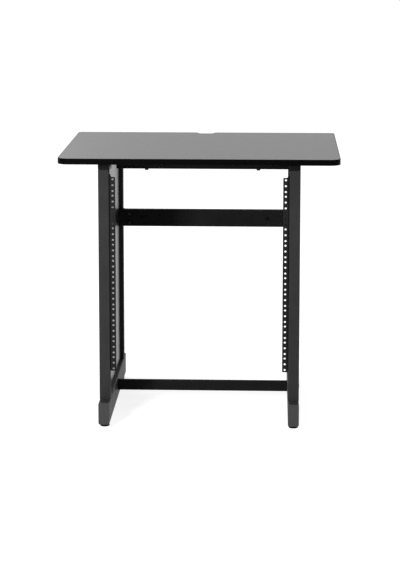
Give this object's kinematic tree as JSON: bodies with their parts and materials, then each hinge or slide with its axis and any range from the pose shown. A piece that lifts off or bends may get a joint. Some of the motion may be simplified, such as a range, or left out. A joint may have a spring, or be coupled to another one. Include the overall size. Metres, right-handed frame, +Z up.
{
  "type": "studio rack table",
  "caption": "Table with a laminated top on two steel side frames, whose front rails hold standard rack equipment beneath it; the feet screw out to level it.",
  "frame": {"origin": "On the floor, under the middle of the table top, with the levelling feet screwed in.", "axes": "+X is the right hand side seen from the front, -Y faces the user and +Z is up."},
  "size_m": [0.755, 0.6, 0.74],
  "materials": {
    "laminate": "smooth black laminate on board",
    "edge_band": "black plastic edge band",
    "powder_coat": "fine black powder coat",
    "matt_coat": "matt black coat",
    "panel_coat": "smooth semi-gloss black coat",
    "rail_coat": "black powder coat on folded steel",
    "cap_plastic": "moulded dark grey plastic",
    "glide_plastic": "moulded black plastic",
    "zinc_steel": "zinc plated steel",
    "black_steel": "blackened steel"
  },
  "bodies": {
    "frame": {"tabletop_board": "laminate", "tabletop_edge_band": "edge_band", "top_crossbar": "matt_coat", "mid_crossbar": "matt_coat", "low_crossbar": "matt_coat", "left_tabletop_bolt": "black_steel", "left_top_crossbar_end_plate": "matt_coat", "left_top_crossbar_bolt": "black_steel", "left_low_crossbar_end_plate": "matt_coat", "left_low_crossbar_bolt": "black_steel", "left_lower_mid_crossbar_bolt": "black_steel", "left_upper_mid_crossbar_bolt": "black_steel", "left_mid_crossbar_plug": "glide_plastic", "left_mid_bracket": "matt_coat", "left_top_beam": "powder_coat", "left_foot_beam": "powder_coat", "left_side_panel": "panel_coat", "left_rack_rail": "rail_coat", "left_front_column": "powder_coat", "left_front_foot_cap": "cap_plastic", "left_front_beam_cap": "glide_plastic", "left_front_weld_nut": "zinc_steel", "left_rear_column": "powder_coat", "left_rear_foot_cap": "cap_plastic", "left_rear_beam_cap": "glide_plastic", "left_rear_weld_nut": "zinc_steel", "right_tabletop_bolt": "black_steel", "right_top_crossbar_end_plate": "matt_coat", "right_top_crossbar_bolt": "black_steel", "right_low_crossbar_end_plate": "matt_coat", "right_low_crossbar_bolt": "black_steel", "right_lower_mid_crossbar_bolt": "black_steel", "right_upper_mid_crossbar_bolt": "black_steel", "right_mid_crossbar_plug": "glide_plastic", "right_mid_bracket": "matt_coat", "right_top_beam": "powder_coat", "right_foot_beam": "powder_coat", "right_side_panel": "panel_coat", "right_rack_rail": "rail_coat", "right_front_column": "powder_coat", "right_front_foot_cap": "cap_plastic", "right_front_beam_cap": "glide_plastic", "right_front_weld_nut": "zinc_steel", "right_rear_column": "powder_coat", "right_rear_foot_cap": "cap_plastic", "right_rear_beam_cap": "glide_plastic", "right_rear_weld_nut": "zinc_steel"},
    "left_front_glide": {"left_front_leveller_base": "glide_plastic"},
    "left_front_screw": {"left_front_leveller_stem": "zinc_steel"},
    "left_rear_glide": {"left_rear_leveller_base": "glide_plastic"},
    "left_rear_screw": {"left_rear_leveller_stem": "zinc_steel"},
    "right_front_glide": {"right_front_leveller_base": "glide_plastic"},
    "right_front_screw": {"right_front_leveller_stem": "zinc_steel"},
    "right_rear_glide": {"right_rear_leveller_base": "glide_plastic"},
    "right_rear_screw": {"right_rear_leveller_stem": "zinc_steel"}
  },
  "joints": [
    {"name": "left_front_level", "type": "slide", "parent": "frame", "child": "left_front_glide", "axis": [0, 0, -1], "range_m": [0, 0.012]},
    {"name": "left_front_turn", "type": "hinge", "parent": "left_front_glide", "child": "left_front_screw", "pos_m": [-0.257, -0.262, 0.008], "axis": [0, 0, -1], "range_deg": [0, 3460]},
    {"name": "left_rear_level", "type": "slide", "parent": "frame", "child": "left_rear_glide", "axis": [0, 0, -1], "range_m": [0, 0.012]},
    {"name": "left_rear_turn", "type": "hinge", "parent": "left_rear_glide", "child": "left_rear_screw", "pos_m": [-0.257, 0.262, 0.008], "axis": [0, 0, -1], "range_deg": [0, 3460]},
    {"name": "right_front_level", "type": "slide", "parent": "frame", "child": "right_front_glide", "axis": [0, 0, -1], "range_m": [0, 0.012]},
    {"name": "right_front_turn", "type": "hinge", "parent": "right_front_glide", "child": "right_front_screw", "pos_m": [0.257, -0.262, 0.008], "axis": [0, 0, -1], "range_deg": [0, 3460]},
    {"name": "right_rear_level", "type": "slide", "parent": "frame", "child": "right_rear_glide", "axis": [0, 0, -1], "range_m": [0, 0.012]},
    {"name": "right_rear_turn", "type": "hinge", "parent": "right_rear_glide", "child": "right_rear_screw", "pos_m": [0.257, 0.262, 0.008], "axis": [0, 0, -1], "range_deg": [0, 3460]}
  ],
  "couplings": [
    {"joint": "left_front_turn", "follows": "left_front_level", "rad_per_m": 5026.5},
    {"joint": "left_rear_turn", "follows": "left_rear_level", "rad_per_m": 5026.5},
    {"joint": "right_front_turn", "follows": "right_front_level", "rad_per_m": 5026.5},
    {"joint": "right_rear_turn", "follows": "right_rear_level", "rad_per_m": 5026.5}
  ]
}
